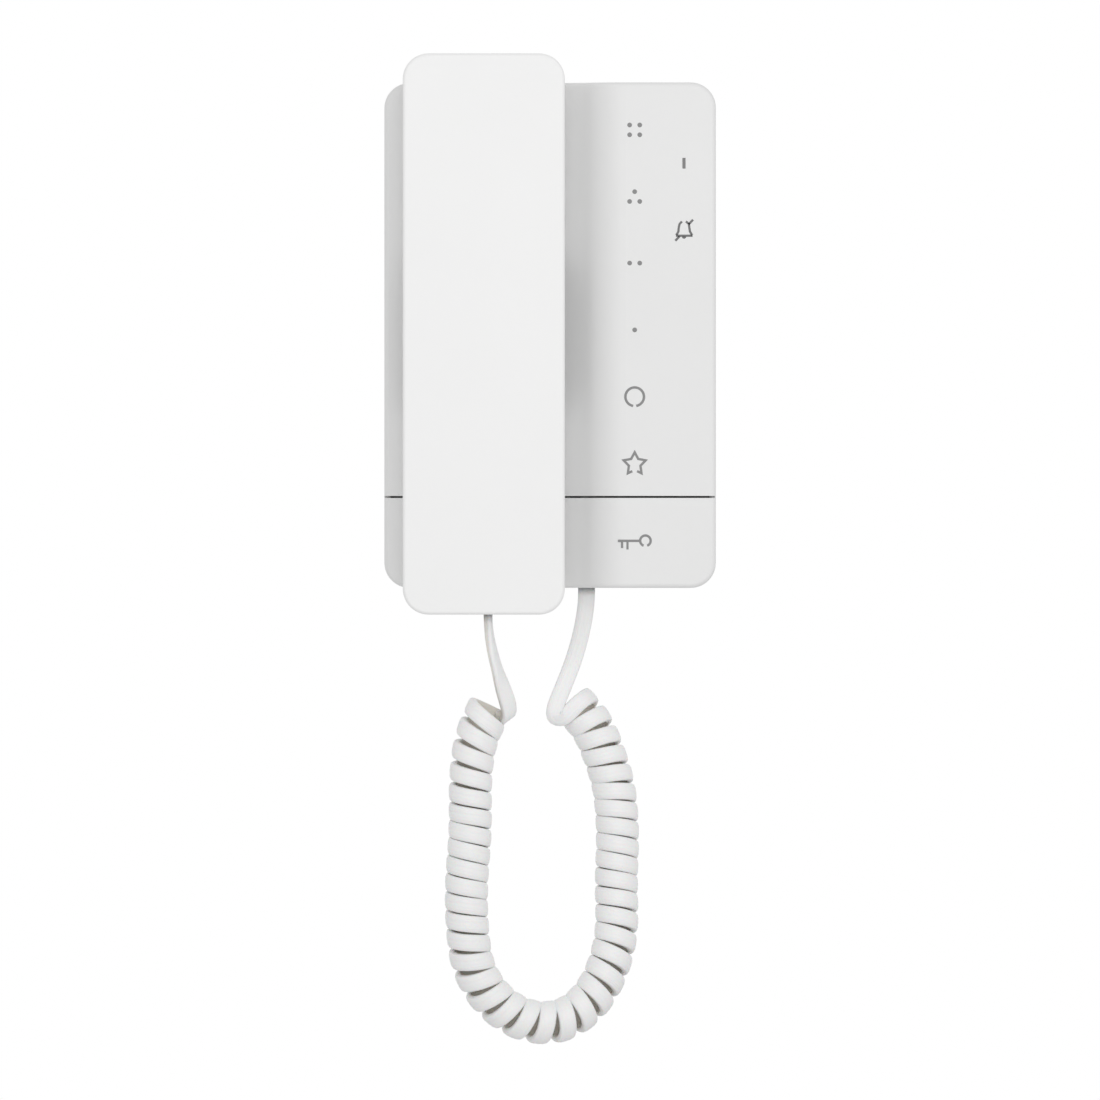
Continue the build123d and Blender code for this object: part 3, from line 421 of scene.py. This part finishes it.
# paper floor: its height, half its width, and how far it runs behind the wall
floorPiece = {"z": -300.0, "half": 1200.0, "behind": 450.0}
floorMaterial, _, floorShader = startMaterial("floorPaper")
floorShader.inputs["Base Color"].default_value = (0.88, 0.88, 0.88, 1)
floorShader.inputs["Roughness"].default_value = 0.9
half, behind = floorPiece["half"], floorPiece["behind"]
corners = [place(x, depth, floorPiece["z"])
           for x, depth in ((-half, half), (half, half), (half, -behind), (-half, -behind))]
floor = addPiece("floor", corners, [[0, 1, 2, 3]], floorMaterial, None)
bpy.context.scene.view_settings.view_transform = "Standard"
print("camera and light ready")


# Curly cord of one flat jacket: across, in front of the wall and up in millimetres, from the handset's plug
# round the loop to the plug of the wall unit.
cordSizes = {
    "width": 5.35, "thick": 2.7, "widthPower": 0.62, "thickPower": 0.50, "rib": 0.05, "ribPitch": 1.3,
    "coilRadius": 5.42, "turns": 38, "startPhase": -97.0, "endPhase": 12.0,  # degrees round from the front
    "pointsPerTurn": 16, "perSection": 36, "axisSteps": 24, "lineSteps": 3,
    # places along the coil in shares of its length, and how wide the curls stand there in shares of the mean
    "spacingAt": [0.0, 0.1, 0.16, 0.28, 0.38, 0.5, 0.6, 0.68, 0.75, 0.86, 0.93, 1.0],
    "spacing": [1.04, 1.045, 0.93, 0.925, 1.08, 1.085, 1.08, 1.0, 0.93, 0.935, 1.0, 1.03],
    "leanStart": -9.5, "leanEnd": 7.0, "leanTurns": 6.0,  # degrees that the first and last curls lean
    "startDrop": 1.2, "dropTurns": 0.56,  # how far the coil starts below its place, and where that ends
    "startSkip": 2,  # points of the first curl that the lead takes the place of
}
handLeadRoute = [
    (-19.6, 31.0, -88.4), (-19.5, 31.0, -93.0), (-18.6, 31.0, -98.4), (-17.3, 30.6, -103.8),
    (-15.7, 30.0, -109.2), (-14.1, 28.8, -114.0), (-12.9, 27.2, -118.0), (-13.1, 25.4, -121.0),
]
coilAxisRoute = [
    (-18.8, 27.0, -117.4), (-21.6, 27.0, -122.8), (-24.2, 27.0, -130.6), (-25.3, 27.0, -142.0),
    (-25.1, 26.5, -156.8), (-26.6, 26.0, -174.2), (-26.2, 25.2, -188.8), (-24.5, 24.0, -200.5),
    (-18.2, 22.6, -210.8), (-8.2, 21.0, -217.4), (3.4, 19.2, -217.8), (12.5, 17.4, -211.5),
    (18.5, 15.8, -201.0), (21.4, 14.4, -188.5), (20.9, 13.2, -172.7), (21.6, 12.5, -158.4),
    (20.6, 12.0, -144.1), (18.1, 12.0, -135.2), (14.8, 12.0, -126.5), (11.4, 12.0, -120.9),
    (8.0, 12.0, -117.6),
]
baseLeadRoute = [
    (5.6, 17.5, -120.0), (3.4, 18.2, -121.4), (1.5, 18.6, -121.0), (1.4, 18.6, -118.6),
    (2.5, 18.0, -115.4), (4.6, 16.6, -110.4), (7.2, 14.6, -103.8), (9.3, 11.6, -97.0),
    (10.7, 8.6, -90.6), (11.6, 7.2, -84.6), (11.6, 7.2, -80.0),
]
# where the jacket's flat side looks on the leads: (x, y, z) at a share of the handset lead's points, and at a
# number of points past the last curl
handLooks = [((1, 0, 0), 0), ((0.95, -0.3, 0), 0.3), ((0.55, -0.85, -0.1), 0.62), ((0.8, -0.6, 0), 0.9)]
baseLooks = [((-0.35, -0.75, -0.5), 2.6), ((0, -1, 0), 5)]


# points read from a smooth curve (NURBS of order 3) that has the given control points
def splineLine(name, points, steps):
    curve = bpy.data.curves.new(name, "CURVE")
    curve.dimensions = "3D"
    curve.resolution_u = curve.render_resolution_u = steps
    spline = curve.splines.new("NURBS")
    spline.points.add(len(points) - 1)
    spline.points.foreach_set("co", np.c_[points, np.ones(len(points))].ravel())
    spline.order_u = 3
    spline.use_endpoint_u = True
    holder = bpy.data.objects.new(name, curve)
    bpy.context.scene.collection.objects.link(holder)
    bpy.context.view_layer.update()
    mesh = bpy.data.meshes.new_from_object(holder.evaluated_get(bpy.context.evaluated_depsgraph_get()))
    line = np.zeros(len(mesh.vertices) * 3)
    mesh.vertices.foreach_get("co", line)
    bpy.data.objects.remove(holder)
    bpy.data.meshes.remove(mesh)
    line = line.reshape(-1, 3)
    return line[np.r_[True, np.linalg.norm(np.diff(line, axis=0), axis=1) > 1e-6]]


# metres run along a line up to each of its points
def lengthAlong(line):
    return np.r_[0, np.cumsum(np.linalg.norm(np.diff(line, axis=0), axis=1))]


# Left-handed helix round a curved axis. The share of the turns that is done at a place is the sum of run
# divided by the spacing there, and the point lies radius away from the axis at
# startPhase + (endPhase - startPhase - 360 turns) * share, measured from the front. The first and last
# curls lean: a point rises by tan(lean) * its distance to the side, fading over leanTurns with the square.
# The start hangs lower by startDrop * (1 - (turn / dropTurns)^2).
def helixPoints(axis, turns, perTurn, radius):
    share = np.linspace(0, 1, turns * perTurn + 1)
    run = lengthAlong(axis)
    middle = (run[1:] + run[:-1]) / 2 / run[-1]
    done = np.r_[0, np.cumsum(np.diff(run) / np.interp(middle, cordSizes["spacingAt"], cordSizes["spacing"]))]
    at = np.interp(share, done / done[-1], run)
    centre = np.stack([np.interp(at, run, axis[:, k]) for k in range(3)], -1)
    slope = np.gradient(axis, run, axis=0)
    along = unit(np.stack([np.interp(at, run, slope[:, k]) for k in range(3)], -1))
    front = np.tile([0.0, -1.0, 0.0], (len(along), 1))
    front = unit(front - along * (front * along).sum(1, keepdims=True))
    side = np.cross(along, front)
    start, end = cordSizes["startPhase"], cordSizes["endPhase"]
    phase = np.radians(start + (end - start - 360 * turns) * share)[:, None]
    outward = front * np.cos(phase) + side * np.sin(phase)
    points = centre + outward * radius
    turn = share * turns
    fade = [np.clip(1 - t / cordSizes["leanTurns"], 0, 1) ** 2 for t in (turn, turns - turn)]
    lean = [math.tan(math.radians(cordSizes[key])) for key in ("leanStart", "leanEnd")]
    points[:, 2] += (points[:, 0] - centre[:, 0]) * (lean[0] * fade[0] + lean[1] * fade[1])
    points[:, 2] -= cordSizes["startDrop"] * mm * np.clip(1 - (turn / cordSizes["dropTurns"]) ** 2, 0, 1)
    return points, outward


# Rounded flat section: x = width/2 * cos^widthPower, y = thick/2 * sin^thickPower with the signs kept. Its
# flat sides carry a low wave, rib * cos(2 pi x / ribPitch), that fades to the edges with 1 - (2 x / width)^4.
def flatSection(width, thick, count):
    turn = 2 * np.pi * np.arange(count) / count
    x = width / 2 * np.sign(np.cos(turn)) * np.abs(np.cos(turn)) ** cordSizes["widthPower"]
    y = thick / 2 * np.sign(np.sin(turn)) * np.abs(np.sin(turn)) ** cordSizes["thickPower"]
    flat = np.clip(1 - (np.abs(x) / (width / 2)) ** 4, 0, 1)
    wave = cordSizes["rib"] * mm * np.cos(2 * np.pi * x / (cordSizes["ribPitch"] * mm)) * flat
    return x, y + np.sign(y) * wave


# vectors eased from one mark to the next by t * t * (3 - 2 t)
def smoothBetween(values, marks, at):
    marks, values = np.array(marks), np.array(values, float)
    i = np.clip(np.searchsorted(marks, at, side="right") - 1, 0, len(marks) - 2)
    t = np.clip((at - marks[i]) / (marks[i + 1] - marks[i]), 0, 1)
    t = (t * t * (3 - 2 * t))[:, None]
    return values[i] * (1 - t) + values[i + 1] * t


# The section is carried along the line with its flat side turned to look: outwards on the curls, and as the
# two lists say on the leads. The control points stand out by coilRadius / cos(pi / pointsPerTurn)^1.5, since
# the curve cuts their corners. The UV is metres along the cord and the place round the section.
def makeCord():
    axis = splineLine("coilAxis", [place(*p) for p in coilAxisRoute], cordSizes["axisSteps"])
    reach = cordSizes["coilRadius"] * mm / math.cos(math.pi / cordSizes["pointsPerTurn"]) ** 1.5
    curls, outward = helixPoints(axis, cordSizes["turns"], cordSizes["pointsPerTurn"], reach)
    curls, outward = curls[cordSizes["startSkip"]:], outward[cordSizes["startSkip"]:]
    handLead = np.array([place(*p) for p in handLeadRoute])
    baseLead = np.array([place(*p) for p in baseLeadRoute])
    control = np.r_[handLead, curls, baseLead]
    line = splineLine("cordLine", control, cordSizes["lineSteps"])
    run = lengthAlong(line)
    share = np.linspace(0, len(control) - 1, len(line))
    first, last = len(handLead), len(handLead) + len(curls) - 1
    coilLook = np.stack([np.interp(share, np.arange(first, last + 1), outward[:, k]) for k in range(3)], -1)
    handLook = smoothBetween([look for look, at in handLooks] + [outward[0]],
                             [at * first for look, at in handLooks] + [first + 1], share)
    baseLook = smoothBetween([outward[-1]] + [look for look, at in baseLooks],
                             [last - 1] + [last + at for look, at in baseLooks], share)
    look = np.where((share < first)[:, None], handLook, np.where((share > last)[:, None], baseLook, coilLook))
    along = unit(np.gradient(line, run, axis=0))
    look = unit(look - along * (look * along).sum(1, keepdims=True))
    across = np.cross(along, look)
    x, y = flatSection(cordSizes["width"] * mm, cordSizes["thick"] * mm, cordSizes["perSection"])
    points = line[:, None] + across[:, None] * x[None, :, None] + look[:, None] * y[None, :, None]
    rows, columns = len(line), len(x)
    faces = [f[::-1] for f in ringFaces(rows, columns)]
    faces += [list(range(columns)), list(range((rows - 1) * columns, rows * columns))[::-1]]
    cord = addPiece("curlyCord", points, faces, cordJacket, None)
    uv = np.stack([np.repeat(run, columns), np.tile(np.arange(columns) / columns, rows)], -1)
    layer = cord.data.uv_layers.new(name="alongCord")
    corner = np.zeros(len(cord.data.loops), int)
    cord.data.loops.foreach_get("vertex_index", corner)
    layer.data.foreach_set("uv", uv[corner].astype(np.float32).ravel())
    print("cord", len(line), "stations, length", round(run[-1] * 1000, 1), "mm,", len(faces), "faces")
    return cord, line


cord, cordLine = makeCord()
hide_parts("curly_cord", "cord_lead_handset", "cord_lead_base")
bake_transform(cord)


# screws by where they stand (across, up), the depth of the head's seat, and the sizes of head and shank
screwSizes = {
    "cover": {"places": [(-40.0, 73.0), (40.0, 73.0), (-45.5, -45.0), (44.0, -46.5)], "seat": 3.2,
              "head": 5.4, "rise": 1.5, "shank": 2.5, "length": 6.5},
    "handset": {"places": [(-20.9, 7.2), (-20.9, -6.8)], "seat": 22.0,
                "head": 5.4, "rise": 1.6, "shank": 2.5, "length": 15.0},
    "cross": 3.0, "slot": 0.75, "sink": 0.9, "crossEdge": 0.16, "crossFall": 0.45, "leastSink": 0.3,
    "dome": 0.42, "domeEnd": 0.86, "threadPitch": 1.1, "threadDepth": 0.22, "point": 1.6, "pointWidth": 0.12,
    "around": 96, "domeRings": 30, "shankRings": 64,
}


# Pan head with a cross recess, and a threaded shank. The head is a profile turned round its axis:
# rise * (1 - dome * r^3) inside, rolled over at the rim, less the sink where the point is inside the cross.
# The sink falls by crossFall * distance / half the cross, and keeps at least the share leastSink. The shank's
# radius falls by the thread's depth along a helix of the given pitch, and narrows to the point.
def screwShape(x, z, sizes):
    around, radius = screwSizes["around"], sizes["head"] / 2
    turn = 2 * np.pi * np.arange(around) / around
    dome = np.linspace(0.04, screwSizes["domeEnd"], screwSizes["domeRings"])
    r = np.r_[dome, 0.92, 0.96, 0.985, 1.0, 1.0, 0.985]
    rise = np.r_[1 - screwSizes["dome"] * dome ** 3, 0.60, 0.48, 0.36, 0.22, 0.04, 0.0] * sizes["rise"]
    px, pz = r[:, None] * radius * np.cos(turn), r[:, None] * radius * np.sin(turn)
    half, reach = screwSizes["slot"] / 2, screwSizes["cross"] / 2
    upright = np.maximum(np.abs(px) - half, np.abs(pz) - reach)
    level = np.maximum(np.abs(pz) - half, np.abs(px) - reach)
    inside = np.clip(0.5 - np.minimum(upright, level) / screwSizes["crossEdge"], 0, 1)
    share = (1 - screwSizes["crossFall"] * np.hypot(px, pz) / reach).clip(screwSizes["leastSink"])
    front = rise[:, None] - screwSizes["sink"] * inside * share
    head = np.stack([x + px, -(sizes["seat"] - front), z + pz], -1)
    deep = np.linspace(0, sizes["length"], screwSizes["shankRings"])[:, None]
    thin = screwSizes["threadDepth"] * 0.5 * (1 + np.cos(2 * np.pi * deep / screwSizes["threadPitch"] - turn))
    left = (sizes["length"] - deep) / screwSizes["point"] + screwSizes["pointWidth"]
    body = (sizes["shank"] / 2 - thin) * np.clip(left, 0, 1)
    shank = np.stack([x + body * np.cos(turn), -(sizes["seat"] + deep) + 0 * turn,
                      z + body * np.sin(turn)], -1)
    grid = np.concatenate([head, shank]).reshape(-1, 3) * mm
    tip = [[x * mm, -(sizes["seat"] - front[0].mean()) * mm, z * mm],
           [x * mm, -(sizes["seat"] + sizes["length"]) * mm, z * mm]]
    rows, count = len(r) + len(deep), len(grid)
    faces = ringFaces(rows, around)
    ring = np.arange(around)
    faces += np.stack([np.roll(ring, -1), ring, np.full(around, count)], -1).tolist()
    ring = ring + (rows - 1) * around
    faces += np.stack([ring, np.roll(ring, -1), np.full(around, count + 1)], -1).tolist()
    return np.r_[grid, tip], faces


for label, node, body in (("cover", "cover_screws", "base"), ("handset", "handset_screws", "handset")):
    sizes = screwSizes[label]
    shapes = [screwShape(x, z, sizes) for x, z in sizes["places"]]
    screws = joinShapes(label + "ScrewsCross", shapes, finishes["screwSteel"], body, smooth=True)
    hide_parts(node)
print("screws ready")


# Signs printed on the flat face of the cover and the key. Ink stands thick out of the face and reaches sunk
# into it. Circles are given by their middle, radius and the two angles in degrees between which they run.
signSizes = {
    "thick": 0.03, "sunk": 0.02, "dot": 1.5, "dotAround": 28, "columnX": 26.8, "mitreLimit": 0.35,
    "circle": {"z": -19.5, "radius": 2.94, "ends": (-80.5, 260.5), "stroke": 0.80},
    "star": {"z": -40.75, "tip": 3.66, "dent": 1.93, "open": 0.35, "stroke": 0.76},
    "bell": {"stroke": 0.72, "clapperRadius": 0.35, "clapperStroke": 0.7},
    "key": {"ringRadius": 1.66, "ends": (-70, 250), "stroke": 0.77, "toothStroke": 0.70},
}
faceDepth = -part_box("front_cover")[0].y / mm


# Low round button of ink: rings whose share of the radius falls while they rise in an arc to the middle
def dotShape(x, z, radius):
    around, thick = signSizes["dotAround"], signSizes["thick"]
    share = np.array([1.0, 1.0, 0.92, 0.7])[:, None]
    rise = np.array([-signSizes["sunk"], 0.6 * thick, thick, thick])[:, None]
    turn = 2 * np.pi * np.arange(around) / around
    points = np.stack([x + radius * share * np.cos(turn), -(faceDepth + rise) + 0 * turn,
                       z + radius * share * np.sin(turn)], -1).reshape(-1, 3) * mm
    middle = [[x * mm, -(faceDepth + thick) * mm, z * mm]]
    faces = ringFaces(len(share), around)
    top = np.arange(around) + (len(share) - 1) * around
    faces += np.stack([top, np.roll(top, -1), np.full(around, len(points))], -1).tolist()
    faces.append(list(range(around))[::-1])
    return np.r_[points, middle], faces


# Line of ink with mitred corners: its left and right edges lie half a width off the middle line, and a corner
# reaches out by at most half a width / mitreLimit.
def strokeShape(route, width):
    route = np.array(route, float)
    before = np.r_[route[:1] * 2 - route[1:2], route[:-1]]
    after = np.r_[route[1:], route[-1:] * 2 - route[-2:-1]]
    d1, d2 = unit(route - before), unit(after - route)
    n1, n2 = np.stack([-d1[:, 1], d1[:, 0]], -1), np.stack([-d2[:, 1], d2[:, 0]], -1)
    mitre = unit(n1 + n2)
    mitre = mitre * (width / 2 / np.maximum((mitre * n1).sum(1), signSizes["mitreLimit"]))[:, None]
    low, high = faceDepth - signSizes["sunk"], faceDepth + signSizes["thick"]
    ring = [(route + mitre, low), (route + mitre, high), (route - mitre, high), (route - mitre, low)]
    points = np.stack([np.c_[flat[:, 0], np.full(len(flat), -depth), flat[:, 1]] for flat, depth in ring], 1)
    faces = ringFaces(len(route), 4)
    faces += [[0, 1, 2, 3], [4 * len(route) - 1 - k for k in range(4)]]
    return points.reshape(-1, 3) * mm, faces


# points of a circle's arc between two angles in degrees
def arc(x, z, radius, ends, count=48):
    turn = np.radians(np.linspace(*ends, count))
    return np.stack([x + radius * np.cos(turn), z + radius * np.sin(turn)], -1)


pictureScale = {"millimetresPerPixel": 0.3168, "middleColumn": 550, "zeroRow": 335.3}


# millimetres across and up of a place measured in the picture
def fromPhoto(column, row):
    scale = pictureScale["millimetresPerPixel"]
    return (column - pictureScale["middleColumn"]) * scale, (pictureScale["zeroRow"] - row) * scale


# Outline of a five-pointed star: ten corners, each 36 degrees on, on the tips' circle and the dents' circle
# in turn. The bottom dent, corner 5, is left open by a share of the edge on both sides.
def starRoute(x, z, sizes):
    turn = np.radians(90 - 36 * np.arange(10))
    size = np.where(np.arange(10) % 2 == 0, sizes["tip"], sizes["dent"])
    corner = np.stack([x + size * np.cos(turn), z + size * np.sin(turn)], -1)
    right, left = (corner[5] + (corner[k] - corner[5]) * sizes["open"] for k in (4, 6))
    return np.r_[[left], corner[[6, 7, 8, 9, 0, 1, 2, 3, 4]], [right]]


dotSigns = {
    "signFourDots": [(25.2, 66.5), (28.4, 66.5), (25.2, 63.4), (28.4, 63.4)],
    "signThreeDots": [(26.8, 45.4), (25.2, 42.3), (28.4, 42.3)],
    "signTwoDots": [(25.2, 22.8), (28.4, 22.8)],
    "signOneDot": [(26.8, 1.65)],
}
for signName, spots in dotSigns.items():
    dots = [dotShape(x, z, signSizes["dot"] / 2) for x, z in spots]
    joinShapes(signName, dots, finishes["greyInk"], "base")

circle, star = signSizes["circle"], signSizes["star"]
circleLine = arc(signSizes["columnX"], circle["z"], circle["radius"], circle["ends"])
starLine = starRoute(signSizes["columnX"], star["z"], star)
joinShapes("signCircle", [strokeShape(circleLine, circle["stroke"])], finishes["greyInk"], "base")
joinShapes("signStar", [strokeShape(starLine, star["stroke"])], finishes["greyInk"], "base")

# struck-out bell: its left and right sides, its lower edge, the two ends of the slash, and the clapper
bellLines = [
    [(681.8, 221.7), (679.4, 224.4), (678.6, 228), (678.2, 232), (676.2, 235.4)],
    [(685.8, 221.7), (688.7, 224.3), (689.2, 228), (689.8, 231.8), (692.0, 235.4)],
    [(675.8, 236.0), (692.4, 236.0)],
    [(688.5, 224.6), (692.9, 220.0)],
    [(679.4, 236.6), (675.2, 241.0)],
]
bell = signSizes["bell"]
bellStrokes = [strokeShape([fromPhoto(*p) for p in route], bell["stroke"]) for route in bellLines]
clapper = arc(*fromPhoto(683.9, 236.8), bell["clapperRadius"], (180, 360), 14)
bellStrokes.append(strokeShape(clapper, bell["clapperStroke"]))
joinShapes("signBell", bellStrokes, finishes["darkInk"], "base")

# key: its ring, its shaft and two teeth, which start at the shaft's lower edge
key = signSizes["key"]
keyRing = arc(*fromPhoto(645.3, 540.7), key["ringRadius"], key["ends"])
keyShaft = [fromPhoto(617.8, 540.8), fromPhoto(638.95, 540.8)]
keyTeeth = [
    [fromPhoto(622.0, 541.9), fromPhoto(622.0, 548.0)],
    [fromPhoto(627.4, 541.9), fromPhoto(627.4, 549.4)],
]
keyStrokes = [strokeShape(route, key["stroke"]) for route in (keyRing, keyShaft)]
keyStrokes += [strokeShape(tooth, key["toothStroke"]) for tooth in keyTeeth]
joinShapes("signKey", keyStrokes, finishes["greyInk"], "door_key")
print("signs ready")
